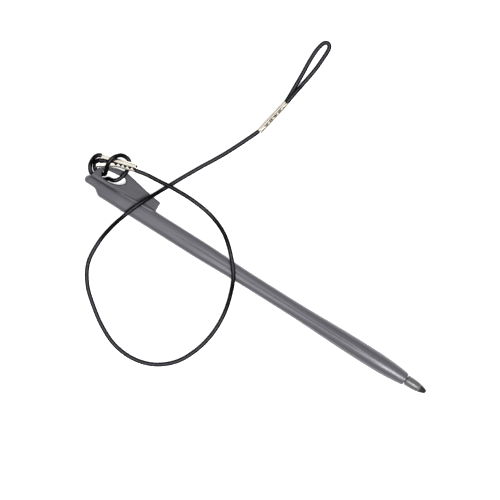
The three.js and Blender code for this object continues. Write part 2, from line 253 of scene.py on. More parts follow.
# ---- Finishes ----
@dataclass(frozen=True)
class MouldedPlastic:
    """Injection-moulded plastic from a finely spark-eroded mould.

    It gives the eye a satin surface: soft-edged highlights broken by a fine grain, drawn coarser than the
    mould's own so that it shows, faint streaks where the melt ran along the piece, and thin rubbed lines.
    """

    name: str
    colour: str
    streak_colour: str
    roughness: float
    rubbed_roughness: float
    grain_mm: float = 0.16
    grain_depth_mm: float = 0.012
    ior: float = 1.5
    rib_highlight_colour: str = ""
    lug_shade_colour: str = ""
    rib_highlight_half_width_mm: float = 0.35
    lug_shade_fade_mm: float = 1.4

    def make(self) -> bpy.types.Material:
        """Make the material: streaks, painted shade on the lug and a painted highlight on the rib in the
        colour, rubbed lines in the roughness, grain in the bump.
        """
        material, tree, shader = new_material(self.name)
        streaks = add_node(tree, "TexNoise", {
            "Vector": object_mm(tree, (0.06, 0.9, 0.9)), "Scale": 1.0, "Detail": 3.0, "Roughness": 0.55,
        })
        colour = add_node(tree, "Mix", {
            0: streaks.outputs["Fac"], 6: to_linear(self.colour), 7: to_linear(self.streak_colour),
        }, data_type="RGBA")
        # painted shade: the lug is darkened in the colour
        if self.lug_shade_colour:
            colour = add_node(tree, "Mix", {
                0: self.lug_shade_mask(tree), 6: colour.outputs[2], 7: to_linear(self.lug_shade_colour),
            }, data_type="RGBA")
        # painted highlight: the rib beside the lug is lightened in the colour
        if self.rib_highlight_colour:
            colour = add_node(tree, "Mix", {
                0: self.rib_highlight_mask(tree), 6: colour.outputs[2], 7: to_linear(self.rib_highlight_colour),
            }, data_type="RGBA")
        rubs = add_node(tree, "TexNoise", {
            "Vector": object_mm(tree, (0.12, 4.0, 4.0)), "Scale": 1.0, "Detail": 2.0,
        })
        roughness = add_node(tree, "MapRange", {
            "Value": rubs.outputs["Fac"], "From Min": 0.35, "From Max": 0.7,
            "To Min": self.roughness, "To Max": self.rubbed_roughness,
        })
        grain = add_node(tree, "TexNoise", {
            "Vector": object_mm(tree), "Scale": 1 / self.grain_mm, "Detail": 2.0,
        })
        bump = add_node(tree, "Bump", {
            "Height": grain.outputs["Fac"], "Distance": self.grain_depth_mm * MM, "Strength": 1.0,
        })
        fill(shader, {
            "Base Color": colour.outputs[2], "Roughness": roughness.outputs["Result"],
            "Normal": bump.outputs["Normal"], "IOR": self.ior,
        })
        return material

    def from_root(self, tree: bpy.types.NodeTree) -> tuple[bpy.types.Node, bpy.types.Node]:
        """Measure from the straight line of the lug's root.

        Args:
            tree: The node tree that the nodes go into.

        Returns:
            The node that holds the place's X, Y and Z, and the node that holds how far in Y the place lies
            out over the lug from the line, in millimetres.
        """
        (start_x, start_y), (end_x, end_y) = LUG_ROOT
        split = add_node(tree, "SeparateXYZ", {0: object_mm(tree)})
        line = add_node(tree, "MapRange", {
            "Value": split.outputs["X"], "From Min": start_x, "From Max": end_x,
            "To Min": start_y, "To Max": end_y,
        })
        off = add_node(tree, "Math", {
            0: split.outputs["Y"], 1: line.outputs["Result"],
        }, operation="SUBTRACT")
        return split, off

    def lug_shade_mask(self, tree: bpy.types.NodeTree) -> bpy.types.NodeSocket:
        """Mark the lug, where shade is painted into the colour to darken it.

        Args:
            tree: The node tree that the nodes go into.

        Returns:
            1 on the lug and 0 elsewhere: it rises with the distance from the root's line.
        """
        split, off = self.from_root(tree)
        over = add_node(tree, "MapRange", {
            "Value": off.outputs[0], "From Min": 0.1, "From Max": self.lug_shade_fade_mm,
        }, interpolation_type="SMOOTHSTEP")
        lug_end = LUG_ROOT[1][0]
        before_end = add_node(tree, "MapRange", {
            "Value": split.outputs["X"], "From Min": lug_end, "From Max": lug_end + 0.4,
            "To Min": 1.0, "To Max": 0.0,
        })
        return add_node(tree, "Math", {
            0: over.outputs["Result"], 1: before_end.outputs["Result"],
        }, operation="MULTIPLY").outputs[0]

    def rib_highlight_mask(self, tree: bpy.types.NodeTree) -> bpy.types.NodeSocket:
        """Mark the rib beside the lug, where a highlight is painted into the colour to lighten it.

        Args:
            tree: The node tree that the nodes go into.

        Returns:
            1 on the rib and 0 elsewhere: it falls with the distance from the root's line, fades in over the
            line's first 3 mm, and fades out over its last 1.1 mm.
        """
        (start_x, _), (end_x, _) = LUG_ROOT
        split, off = self.from_root(tree)
        away = add_node(tree, "Math", {0: off.outputs[0]}, operation="ABSOLUTE")
        on_line = add_node(tree, "MapRange", {
            "Value": away.outputs[0], "From Min": 0.15, "From Max": self.rib_highlight_half_width_mm,
            "To Min": 1.0, "To Max": 0.0,
        }, interpolation_type="SMOOTHSTEP")
        begun = add_node(tree, "MapRange", {
            "Value": split.outputs["X"], "From Min": start_x, "From Max": start_x + 3.0,
        })
        ended = add_node(tree, "MapRange", {
            "Value": split.outputs["X"], "From Min": end_x - 1.1, "From Max": end_x,
            "To Min": 1.0, "To Max": 0.0,
        })
        both = add_node(tree, "Math", {
            0: begun.outputs["Result"], 1: ended.outputs["Result"],
        }, operation="MULTIPLY")
        return add_node(tree, "Math", {
            0: on_line.outputs["Result"], 1: both.outputs[0],
        }, operation="MULTIPLY").outputs[0]


@dataclass(frozen=True)
class NickelStrip:
    """Pressed steel strip with nickel plate.

    It gives the eye a pale, slightly warm shine that is softened by rolling lines along the strip and by
    shallow press marks about a millimetre across.
    """

    name: str
    colour: str
    stain_colour: str
    roughness: float
    press_mm: float = 0.9
    press_depth_mm: float = 0.012

    def make(self) -> bpy.types.Material:
        """Make the material: a warm stain in the colour, rolling lines in the roughness, press marks."""
        material, tree, shader = new_material(self.name)
        stain = add_node(tree, "TexNoise", {"Vector": object_mm(tree), "Scale": 0.7, "Detail": 3.0})
        stained = add_node(tree, "MapRange", {
            "Value": stain.outputs["Fac"], "From Min": 0.45, "From Max": 0.75,
        })
        colour = add_node(tree, "Mix", {
            0: stained.outputs["Result"], 6: to_linear(self.colour), 7: to_linear(self.stain_colour),
        }, data_type="RGBA")
        lines = add_node(tree, "TexNoise", {"Vector": object_mm(tree, (0.8, 9, 9)), "Scale": 1.0})
        roughness = add_node(tree, "MapRange", {
            "Value": lines.outputs["Fac"], "From Min": 0.3, "From Max": 0.7,
            "To Min": self.roughness - 0.04, "To Max": self.roughness + 0.08,
        })
        press = add_node(tree, "TexNoise", {
            "Vector": object_mm(tree), "Scale": 1 / self.press_mm, "Detail": 1.0,
        })
        bump = add_node(tree, "Bump", {
            "Height": press.outputs["Fac"], "Distance": self.press_depth_mm * MM, "Strength": 1.0,
        })
        fill(shader, {
            "Base Color": colour.outputs[2], "Roughness": roughness.outputs["Result"],
            "Normal": bump.outputs["Normal"], "Metallic": 1.0,
        })
        return material


@dataclass(frozen=True)
class BraidedSheath:
    """Black polyester yarn braided over a rubber core.

    It gives the eye a matt, near-black rope with a grey sheen painted along its top, where light falls from
    above, and fine slanting yarns that cross in diamonds. The diamonds follow the cord by its UV map, drawn
    coarser than real yarn so that they show.
    """

    name: str
    colour: str
    top_sheen_colour: str
    yarns: int
    lay_mm: float
    yarn_depth_mm: float = 0.05
    roughness: float = 0.5
    ior: float = 1.12

    def make(self) -> bpy.types.Material:
        """Make the material: two sets of slanting yarns as waves of (V x yarns) plus and minus (U / lay).

        The grey is a painted sheen: the crossing of the waves, times a fine noise, where the surface faces
        up.
        """
        material, tree, shader = new_material(self.name)
        uv = add_node(tree, "UVMap", uv_map="UVMap")
        split = add_node(tree, "SeparateXYZ", {0: uv.outputs["UV"]})
        along, across = (
            add_node(tree, "Math", {0: split.outputs[axis], 1: rate}, operation="MULTIPLY").outputs[0]
            for axis, rate in (("X", 1 / self.lay_mm), ("Y", self.yarns))
        )
        waves = []
        for hand in ("ADD", "SUBTRACT"):
            turn = add_node(tree, "Math", {0: across, 1: along}, operation=hand)
            swing = add_node(tree, "Math", {0: turn.outputs[0], 1: math.pi}, operation="MULTIPLY")
            wave = add_node(tree, "Math", {0: swing.outputs[0]}, operation="SINE")
            size = add_node(tree, "Math", {0: wave.outputs[0]}, operation="ABSOLUTE")
            waves.append(size.outputs[0])
        crown = add_node(tree, "Math", {0: waves[0], 1: waves[1]}, operation="MULTIPLY")
        fuzz = add_node(tree, "TexNoise", {"Vector": object_mm(tree), "Scale": 2.2, "Detail": 3.0})
        normal = add_node(tree, "TexCoord").outputs["Normal"]
        facing = add_node(tree, "SeparateXYZ", {0: normal})
        # painted sheen: the cord's upward-facing top is lightened in the colour, where the overhead light
        # falls
        top_sheen_mask = add_node(tree, "MapRange", {
            "Value": facing.outputs["Z"], "From Min": 0.9, "From Max": 1.0,
        }, interpolation_type="SMOOTHSTEP")
        crossing_weight = add_node(tree, "Math", {
            0: crown.outputs[0], 1: 0.4, 2: 0.5,
        }, operation="MULTIPLY_ADD")
        speck = add_node(tree, "Math", {
            0: crossing_weight.outputs[0], 1: fuzz.outputs["Fac"],
        }, operation="MULTIPLY")
        sheen_share = add_node(tree, "Math", {
            0: speck.outputs[0], 1: top_sheen_mask.outputs["Result"],
        }, operation="MULTIPLY")
        colour = add_node(tree, "Mix", {
            0: sheen_share.outputs[0], 6: to_linear(self.colour), 7: to_linear(self.top_sheen_colour),
        }, data_type="RGBA")
        bump = add_node(tree, "Bump", {
            "Height": crown.outputs[0], "Distance": self.yarn_depth_mm * MM, "Strength": 1.0,
        })
        fill(shader, {
            "Base Color": colour.outputs[2], "Normal": bump.outputs["Normal"],
            "Roughness": self.roughness, "IOR": self.ior,
        })
        return material


class Finish(Enum):
    """The object's finishes, by what each one is."""

    # painted light: the barrel's rib colour is a painted highlight, and its lug colour is a painted shade
    BARREL = MouldedPlastic(
        "grey ABS, moulded, satin", "434247", "4b4a4f", 0.32, 0.26,
        ior=1.46, rib_highlight_colour="737378", lug_shade_colour="2c2b2f",
    )
    NIB = MouldedPlastic("light grey acetal, moulded, polished", "444443", "4c4c4b", 0.34, 0.28, 0.12, 0.004)
    POINT = MouldedPlastic("black acetal, moulded", "050506", "080809", 0.42, 0.38, 0.12, 0.006, 1.4)
    CRIMP = NickelStrip("steel strip, pressed, bright nickel plate", "f6f1e6", "e0d6c3", 0.16)
    # painted shade: the far crimp's nickel is coloured darker than the near crimp's so that it does not wash
    # out under the key light; its higher roughness is a duller finish
    SHADE_PAINTED_CRIMP = NickelStrip("steel strip, pressed, dulled nickel plate", "a19c91", "979084", 0.4, 1.4, 0.004)
    CORD = BraidedSheath("black polyester, braided over rubber", "020203", "68686f", 8, 0.8)


# ---- Studio ----
@dataclass
class Studio:
    """The floor, the soft light and the camera, which looks straight down on the stylus."""

    lens_mm: float = 250.0
    sensor_mm: float = 36.0
    frame_width_mm: float = 155.28
    middle_mm: tuple[float, float] = (-7.1, 8.27)
    focus_height_mm: float = 2.5
    turn_degrees: float = 32.216
    floor_size_mm: float = 4000.0
    floor_gap_mm: float = 0.05
    floor_glow: float = 0.6
    key_size_m: tuple[float, float] = (0.16, 0.7)
    key_place_m: tuple[float, float, float] = (0.3, -0.2, 1.15)
    key_tilt_degrees: tuple[float, float, float] = (10.0, 13.5, 0.0)
    key_watts: float = 17.0
    room_at_horizon: float = 0.2
    room_overhead: float = 1.0

    def place_camera(self) -> None:
        """Stand the camera over the middle, as far off as its lens needs for the frame's width."""
        camera = bpy.data.cameras.new("camera")
        camera.lens = self.lens_mm
        camera.sensor_width = self.sensor_mm
        camera.clip_end = 20.0
        camera.dof.use_dof = False
        holder = bpy.data.objects.new("camera", camera)
        away = self.lens_mm / self.sensor_mm * self.frame_width_mm + self.focus_height_mm
        holder.location = (self.middle_mm[0] * MM, self.middle_mm[1] * MM, away * MM)
        holder.rotation_euler = (0.0, 0.0, math.radians(self.turn_degrees))
        bpy.context.scene.collection.objects.link(holder)
        bpy.context.scene.camera = holder

    def lay_floor(self) -> None:
        """Lay a white light table a hair below the object's flat underside; its glow washes shadows out."""
        half = self.floor_size_mm / 2
        side = np.array([-half, half])
        corners = np.stack(np.broadcast_arrays(side[None, :], side[:, None], -self.floor_gap_mm), axis=-1)
        floor = grid_piece("floor", corners, wrap=False, caps=False)
        material, _, shader = new_material("opal acrylic, matt, lit from beneath")
        fill(shader, {
            "Base Color": to_linear("f6f6f6"), "Roughness": 0.9, "Specular IOR Level": 0.0,
            "Emission Color": (1.0, 1.0, 1.0, 1.0), "Emission Strength": self.floor_glow,
        })
        dress(floor, material)

    def hang_lights(self) -> None:
        """Hang one soft light off to the nib's side, in a white room that darkens to its horizon."""
        key = bpy.data.lights.new("key", "AREA")
        key.shape = "RECTANGLE"
        key.size, key.size_y = self.key_size_m
        key.energy = self.key_watts
        key.color = (0.94, 0.95, 1.0)
        holder = bpy.data.objects.new("key", key)
        holder.location = self.key_place_m
        holder.rotation_euler = [math.radians(tilt) for tilt in self.key_tilt_degrees]
        bpy.context.scene.collection.objects.link(holder)
        world = bpy.data.worlds.new("studio")
        world.use_nodes = True
        tree = world.node_tree
        height = add_node(tree, "SeparateXYZ", {
            0: add_node(tree, "TexCoord").outputs["Generated"],
        })
        rise = add_node(tree, "MapRange", {
            "Value": height.outputs["Z"], "From Min": 0.0, "From Max": 0.9,
            "To Min": self.room_at_horizon, "To Max": self.room_overhead,
        }, interpolation_type="SMOOTHSTEP")
        fill(tree.nodes["Background"], {"Color": (1.0, 1.0, 1.0, 1.0), "Strength": rise.outputs["Result"]})
        bpy.context.scene.world = world
        bpy.context.scene.view_settings.view_transform = "Standard"

    def build(self) -> None:
        """Build the whole studio."""
        self.place_camera()
        self.lay_floor()
        self.hang_lights()


# ---- Crimps ----
@dataclass
class Crimp:
    """A toothed strip folded round two strands of the cord, its seam along one side.

    Across its length it is a flattened ring: straight on its two wide faces and half-round on its edges.
    The seam lies at seam_degrees round from the wide axis, and one flap has notches cut in its edge.
    """

    name: str
    node: str
    start: tuple[float, float, float]
    end: tuple[float, float, float]
    roll_degrees: float
    seam_degrees: float
    width: float = 2.7
    height: float = 1.9
    wall: float = 0.24
    channel: float = 0.56
    seam_gap: float = 0.1
    notch_depth: float = 0.6
    notch_width: float = 0.95
    notch_pitch: float = 1.65
    first_notch: float = 2.4
    notches: int = 5
    underlap: float = 0.0
    splay: float = 0.0
    splay_length: float = 6.0
    slant: float = 0.0
    finish: Finish = Finish.CRIMP
    columns: int = 84
    row_spacing: float = 0.07
    corner_power: float = 2.6
    notch_bluntness: float = 1.4
    tuck: float = 0.26
    edge_round: float = 0.05

    def axes(self) -> tuple[np.ndarray, np.ndarray, np.ndarray, float]:
        """Work out which way the crimp lies.

        Returns:
            Its directions along, wide and thick, and its length.
        """
        along = np.array(self.end) - np.array(self.start)
        length = float(np.linalg.norm(along))
        along = along / length
        across = np.cross([0.0, 0.0, 1.0], along)
        across = across / np.linalg.norm(across)
        up = np.cross(along, across)
        roll = math.radians(self.roll_degrees)
        wide = math.cos(roll) * across + math.sin(roll) * up
        thick = -math.sin(roll) * across + math.cos(roll) * up
        return along, wide, thick, length

    def channel_points(self, side: int, stations: tuple[float, ...]) -> np.ndarray:
        """Place points along one of the two channels.

        Args:
            side: 1 or -1, along the wide axis.
            stations: Where the points are, as shares of the crimp's length.

        Returns:
            The points, one row each.
        """
        along, wide, _, length = self.axes()
        reach = np.array(stations)[:, None] * length * along
        return np.array(self.start) + reach + side * self.channel * wide

    def outline(self, degrees: np.ndarray) -> np.ndarray:
        """Work out the ring's middle line: a superellipse, as wide and thick as set.

        Args:
            degrees: Angles round from the wide axis.

        Returns:
            How far each point lies along the wide axis and along the thick one.
        """
        half_wide = (self.width - self.wall) / 2
        half_thick = (self.height - self.wall) / 2
        angle = np.radians(degrees)
        cosine, sine = np.cos(angle), np.sin(angle)
        power = self.corner_power
        size = (np.abs(cosine) ** power + np.abs(sine) ** power) ** (-1 / power)
        return np.stack([cosine * size * half_wide, sine * size * half_thick], axis=-1)

    def notch_cut(self, along: np.ndarray) -> np.ndarray:
        """Work out how deep the notches cut: a blunt triangle in each notch, nothing between.

        Args:
            along: Places along the crimp.

        Returns:
            The depth of the cut at each place.
        """
        place = (along - self.first_notch) / self.notch_pitch
        nearest = np.clip(np.round(place), 0, self.notches - 1)
        off = np.abs(place - nearest) * self.notch_pitch
        return self.notch_depth * np.clip(self.notch_bluntness * (1 - off / (self.notch_width / 2)), 0, 1)

    def build(self) -> bpy.types.Object:
        """Build the folded strip.

        Point (length u, share v round) is the ring's outline at an angle that runs from the notched flap's
        edge right round to the plain flap's edge, and on beneath the notched flap by the underlap, where the
        ring is smaller by the tuck. The notched flap splays outward towards the strip's first end, by the
        splay times the 1.5th power of what is left of the splay's length, and reaches back by the slant.
        """
        along, wide, thick, length = self.axes()
        rows = np.linspace(0, length, int(length / self.row_spacing))[:, None]
        degrees_per_mm = np.degrees(4 / (self.width + self.height))
        cut_edge = (self.seam_gap / 2 + self.notch_cut(rows)) * degrees_per_mm
        plain_edge = (self.underlap - self.seam_gap / 2) * degrees_per_mm
        share = np.linspace(0, 1, self.columns)[None, :]
        turned = cut_edge + (360 + plain_edge - cut_edge) * share
        tucked = smooth_step(turned, 325, 355) * (self.underlap > 0)
        ring = self.outline(self.seam_degrees + turned) * (1 - self.tuck * tucked)[..., None]
        opening = np.clip(1 - rows / self.splay_length, 0, 1) ** 1.5 * (1 - smooth_step(turned, 90, 190))
        place = (rows - self.slant * opening)[..., None] * along
        spread = (self.splay * opening)[..., None] * (0.5 * thick - wide)
        grid = np.array(self.start) + place + spread + ring[..., :1] * wide + ring[..., 1:] * thick
        piece = grid_piece(self.name, grid, wrap=False, caps=False)
        wall = piece.modifiers.new("wall", "SOLIDIFY")
        wall.thickness = self.wall * MM
        wall.offset = 0.0
        wall.use_even_offset = True
        edge = piece.modifiers.new("edge", "BEVEL")
        edge.width = self.edge_round * MM
        edge.segments = 2
        edge.limit_method = "ANGLE"
        edge.angle_limit = math.radians(50)
        dress(piece, self.finish.value.make())
        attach(piece, "stylus")
        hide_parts(self.node)
        return piece


# ---- Tether cord ----
NEAR_LOOP = np.array([
    [-0.06172, 0.00848, 0.00302], [-0.0626, 0.0081, 0.00275], [-0.06328, 0.00705, 0.00225],
    [-0.0633, 0.0043, 0.00105], [-0.0618, 0.00235, 0.00072], [-0.06, 0.00215, 0.00071],
    [-0.058, 0.0023, 0.00071], [-0.05695, 0.00285, 0.00077], [-0.0562, 0.00355, 0.0013],
    [-0.05515, 0.00375, 0.0032], [-0.0544, 0.00395, 0.00395], [-0.0536, 0.0046, 0.0042],
    [-0.053, 0.0056, 0.00413], [-0.0525, 0.0076, 0.00395], [-0.05247, 0.0087, 0.00356],
    [-0.0526, 0.0104, 0.00286], [-0.05405, 0.01195, 0.00293], [-0.0564, 0.0119, 0.0038],
    [-0.0581, 0.01, 0.00544], [-0.0585, 0.0086, 0.00556], [-0.0585, 0.0073, 0.00518],
    [-0.0582, 0.00615, 0.00456], [-0.0579, 0.0051, 0.00388], [-0.05785, 0.0042, 0.00175],
    [-0.0585, 0.0038, 0.0009], [-0.0605, 0.0038, 0.00073], [-0.06135, 0.00425, 0.00085],
    [-0.0619, 0.0052, 0.00125], [-0.06197, 0.00605, 0.0018], [-0.0615, 0.00695, 0.00288],
])
RUN = np.array([
    [-0.05003, 0.01026, 0.00546], [-0.047, 0.01086, 0.00533], [-0.0429, 0.01125, 0.00433],
    [-0.03661, 0.01178, 0.0025], [-0.02973, 0.01179, 0.00098], [-0.02303, 0.01084, 0.0012],
    [-0.01681, 0.00838, 0.00335], [-0.01161, 0.00413, 0.00548], [-0.00729, -0.00107, 0.00564],
    [-0.0047, -0.00708, 0.00305], [-0.00325, -0.01335, 0.00098], [-0.00316, -0.02039, 0.00072],
    [-0.00467, -0.02703, 0.00072], [-0.00793, -0.03326, 0.0007], [-0.01332, -0.03775, 0.0007],
    [-0.0198, -0.03968, 0.0007], [-0.02681, -0.03916, 0.0007], [-0.03306, -0.03647, 0.0007],
    [-0.03891, -0.03251, 0.0007], [-0.04417, -0.02779, 0.0007], [-0.04752, -0.02196, 0.00074],
    [-0.04818, -0.01496, 0.00095], [-0.04727, -0.00866, 0.0032], [-0.0455, -0.0028, 0.00572],
    [-0.0442, 0.0008, 0.006], [-0.0425, 0.0046, 0.0049], [-0.04004, 0.00968, 0.00228],
    [-0.03699, 0.01583, 0.00086], [-0.03381, 0.02187, 0.00074], [-0.03037, 0.02806, 0.0007],
    [-0.0274, 0.0342, 0.0007], [-0.0246, 0.0407, 0.0007],
])
FAR_LOOP = np.array([
    [-0.02218, 0.05328, 0.00072], [-0.02215, 0.0546, 0.0007], [-0.0223, 0.0588, 0.0007],
    [-0.02245, 0.0632, 0.0007], [-0.0227, 0.0672, 0.0007], [-0.02275, 0.0708, 0.0007],
    [-0.02255, 0.0729, 0.0007], [-0.0222, 0.0743, 0.0007], [-0.02172, 0.0752, 0.0007],
    [-0.02095, 0.0756, 0.0007], [-0.02012, 0.07525, 0.0007], [-0.01968, 0.0744, 0.0007],
    [-0.01955, 0.0731, 0.0007], [-0.0196, 0.0706, 0.0007], [-0.01975, 0.0674, 0.0007],
    [-0.0202, 0.0637, 0.00072], [-0.02075, 0.0603, 0.00092], [-0.02115, 0.0577, 0.00162],
    [-0.0215, 0.0554, 0.00203], [-0.02182, 0.0532, 0.00206],
])


@dataclass
class Tether:
    """One elastic cord, hitched through the lug's eye, crimped there, and looped at its far end."""

    near: Crimp
    far: Crimp
    diameter: float = 1.35
    length: float = 345.0
    tail: float = 0.3
    ring_spacing: float = 0.2
    sides: int = 32
    squeeze: float = 0.78
    tail_radius: float = 0.3
    relief: float = 0.02
    snug: float = 0.2
    lowest: float = 0.01
    hitch_middle = np.array([-60.3, 5.6, 0.0])
    inner_strand = slice(25, 29)  # which points of the hitch are its inner strand

    def centreline(self) -> np.ndarray:
        """Lay the cord's middle line: tail, near crimp, hitch, near crimp, run, far crimp, loop, far crimp.

        The hitch's inner strand is pressed outward by snug against the outer strand.

        Returns:
            Points along the line, evenly spaced, one row each.
        """
        along, wide, _, _ = self.near.axes()
        hitch = NEAR_LOOP / MM
        outward = (hitch[self.inner_strand] - self.hitch_middle) * [1, 1, 0]
        hitch[self.inner_strand] += self.snug * outward / np.linalg.norm(outward, axis=1)[:, None]
        tail_end = np.array(self.near.end) + along * self.tail + wide * self.near.channel
        line = np.vstack([
            tail_end[None, :],
            self.near.channel_points(1, (0.96, 0.75, 0.5, 0.25, 0.06)),
            hitch,
            self.near.channel_points(-1, (0.06, 0.25, 0.5, 0.75, 0.95)),
            RUN / MM,
            self.far.channel_points(-1, (0.05, 0.25, 0.5, 0.75, 0.95)),
            FAR_LOOP / MM,
            self.far.channel_points(1, (0.95, 0.75, 0.5, 0.2)),
        ])
        return curve_through(line, self.ring_spacing)

    def radius_at(self, line: np.ndarray) -> np.ndarray:
        """Work out the cord's radius: thinner inside a crimp, eased over 1 mm at the crimp's ends, and
        narrowing over the last millimetre before the cut end.

        Args:
            line: Points along the cord's middle line.

        Returns:
            The radius at each point.
        """
        inside = np.zeros(len(line))
        for crimp in (self.near, self.far):
            along, _, _, length = crimp.axes()
            off = line - np.array(crimp.start)
            reach = off @ along
            away = np.linalg.norm(off - reach[:, None] * along, axis=1)
            held = smooth_step(reach, -0.6, 0.4) * (1 - smooth_step(reach, length - 0.4, length + 0.6))
            inside = np.maximum(inside, held * (away < crimp.width / 2 - 0.3))
        radius = self.diameter / 2 * mix(1.0, self.squeeze, inside)
        from_cut = np.arange(len(line)) * self.ring_spacing
        return np.minimum(radius, mix(self.tail_radius, radius, smooth_step(from_cut, 0.2, 1.2)))

    def build(self) -> bpy.types.Object:
        """Build the cord's tube.

        Each ring stands square to the line, on a frame that turns no more than the line bends: the frame
        made from the vertical is turned back by the sum of its own small twists. The radius carries the
        braid: a small wave is added that peaks where slanting yarns of both hands cross. Nothing goes
        below the lowest height.
        """
        line = self.centreline()
        ahead = np.gradient(line, axis=0)
        ahead /= np.linalg.norm(ahead, axis=1)[:, None]
        side = np.cross(ahead, [0.0, 0.0, 1.0])
        side /= np.linalg.norm(side, axis=1)[:, None]
        lift = np.cross(side, ahead)
        twist = -np.concatenate([[0.0], np.cumsum(np.sum(np.diff(side, axis=0) * lift[:-1], axis=1))])
        first = np.cos(twist)[:, None] * side + np.sin(twist)[:, None] * lift
        second = np.cross(ahead, first)
        length = np.concatenate([[0.0], np.cumsum(np.linalg.norm(np.diff(line, axis=0), axis=1))])
        braid = Finish.CORD.value
        share = np.arange(self.sides) / self.sides
        forward, backward = (
            np.abs(np.sin(math.pi * (share[None, :] * braid.yarns + hand * length[:, None] / braid.lay_mm)))
            for hand in (1, -1)
        )
        radius = self.radius_at(line)[:, None] + self.relief * (forward * backward - 0.5)
        angle = TURN * share[None, :]
        grid = line[:, None, :] + (radius * np.cos(angle))[..., None] * first[:, None, :] \
            + (radius * np.sin(angle))[..., None] * second[:, None, :]
        grid[..., 2] = np.maximum(grid[..., 2], self.lowest)
        piece = grid_piece("tether_cord", grid, sharp_angle=60.0, along_mm=length)
        dress(piece, braid.make())
        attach(piece, "stylus")
        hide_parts("cord_near_loop", "cord_tail", "cord_run", "cord_far_loop")
        LOG.info("tether_cord: %.1f mm long", length[-1])
        self.path = line * MM
        return piece


# ---- Barrel ----
@dataclass
class Barrel:
    """The grey moulding: rounded tab, flat-topped head, waist, bulge, nose and bore, and its lug plate.

    Its skin is one grid: X along its length, and an angle round its axis.
    """

    head_end: float = -62.5
    shoulder: float = -58.6
    head: float = -55.5
    taper: float = -22.6
    waist: float = -0.9
    swell: float = 11.5
    bulge: float = 37.9
    nose: float = 42.6
    rim: float = 54.7
    mouth: float = 55.2
    axis_height: float = 2.35
    tab_half_width_lug_side: float = 1.5
    tab_half_width_plain_side: float = 1.2
    tab_half_height: float = 2.2
    tab_end_radius: float = 1.4
    lug_side_taper: float = 17.0
    head_half_width: float = 2.85
    head_half_height: float = 2.75
    head_height_rise: float = 6.0
    waist_radius: float = 2.42
    bulge_radius: float = 2.93
    nose_radius: float = 2.15
    rim_radius: float = 1.98
    head_power: float = 3.2
    lug_power: float = 12
    bore_radius: float = 1.4
    bore_end: float = 46.2
    lug_start: float = -61.3
    lug_length: float = 23.3
    lug_reach: float = 8.2
    lug_underside: float = 1.7
    lug_thickness: float = 1.5
    lug_end_drop: float = 0.45
    lug_edge_round: float = 0.25
    lug_square_end: float = 0.985
    fillet: float = 0.8
    eye_length: float = 7.8
    eye_width: float = 3.6
    eye_from_head: float = 3.75
    eye_from_axis: float = 2.75
    eye_lip: float = 0.3
    sharp_degrees: float = 38.0
    # Each outline's points are shares of its length and of its reach or width.
    lug_outline = np.array([
        [0.006, 0.195], [0.009, 0.293], [0.021, 0.476], [0.043, 0.61], [0.086, 0.707], [0.167, 0.854],
        [0.249, 0.941], [0.365, 1], [0.442, 0.976], [0.545, 0.922], [0.803, 0.78], [1, 0.707],
    ])
    eye_outline = np.array([
        [0, 0.42], [0.05, 0.14], [0.2, 0.02], [0.42, 0.03], [0.67, 0.14], [0.88, 0.36],
        [1, 0.68], [0.955, 0.92], [0.86, 1], [0.58, 0.94], [0.285, 0.84], [0.07, 0.7],
    ])

    def half_size(self, x: np.ndarray, head_size: float) -> np.ndarray:
        """Work out the round part's half-size: head, smooth taper to the waist, swell, then a nose that
        narrows with the square of the way along it.

        Args:
            x: Places along the barrel.
            head_size: The half-size at the head.

        Returns:
            The half-size at each place.
        """
        waisted = mix(head_size, self.waist_radius, smooth_step(x, self.taper, self.waist))
        shaft = mix(waisted, self.bulge_radius, smooth_step(x, self.swell, self.bulge))
        along = np.clip((x - self.nose) / (self.rim - self.nose), 0, 1)
        return np.where(x > self.nose, mix(self.bulge_radius, self.nose_radius, along ** 2), shaft)

    def lug_edge(self, x: np.ndarray) -> np.ndarray:
        """Work out how far the lug reaches, from a smooth curve through its outline.

        Args:
            x: Places along the barrel.

        Returns:
            The reach from the barrel's axis, 0 where there is no lug.
        """
        edge = curve_through(self.lug_outline * [self.lug_length, self.lug_reach], 0.1)
        reach = np.interp(x - self.lug_start, edge[:, 0], edge[:, 1])
        stop = self.lug_start + self.lug_square_end * self.lug_length
        inset = self.lug_edge_round
        into = np.clip((x - (stop - inset)) / inset, 0, 1)
        reach = reach - inset * (1 - np.sqrt(1 - into ** 2))
        first = self.lug_start + edge[0, 0]
        return np.where((x < first) | (x > stop), 0.0, reach)

    def plate_top(self, x: np.ndarray) -> np.ndarray:
        """Give the height of the lug's upper face, which drops towards its square end."""
        share = np.clip((x - self.lug_start) / self.lug_length, 0, 1)
        return self.lug_underside + self.lug_thickness - share * self.lug_end_drop

    def stations(self) -> np.ndarray:
        """Place the skin's rings, close together where the shape turns fast.

        Returns:
            Their places along X.
        """
        tab_round = self.head_end + self.tab_end_radius * (1 - np.cos(np.linspace(0, math.pi / 2, 14)))
        stop = self.lug_start + self.lug_square_end * self.lug_length
        inset = self.lug_edge_round
        lug_round = stop - inset * (1 - np.sin(np.linspace(0, math.pi / 2, 6)))
        spans = [  # each stretch's start, end and number of rings
            (self.lug_start, self.lug_start + 0.9, 26), (self.lug_start + 0.9, self.shoulder, 12),
            (self.shoulder, self.head, 12), (self.head, stop - inset, 58), (stop + 0.02, stop + 0.02, 1),
            (stop + 0.3, self.taper, 20), (self.taper, self.waist, 24), (self.waist, self.swell, 6),
            (self.swell, self.bulge, 30), (self.bulge, self.nose, 8), (self.nose, self.rim, 26),
        ]
        return np.unique(np.concatenate([tab_round, lug_round, *(np.linspace(*span) for span in spans)]))

    def angles(self) -> np.ndarray:
        """Place the skin's columns, close together over the thin lug plate and the crown.

        Returns:
            Their angles, a full turn.
        """
        spans = [(-22, 22, 96), (22, 80, 64), (80, 100, 24), (100, 338, 80)]  # start, end, columns
        return np.radians(np.concatenate([np.linspace(*span, endpoint=False) for span in spans]))

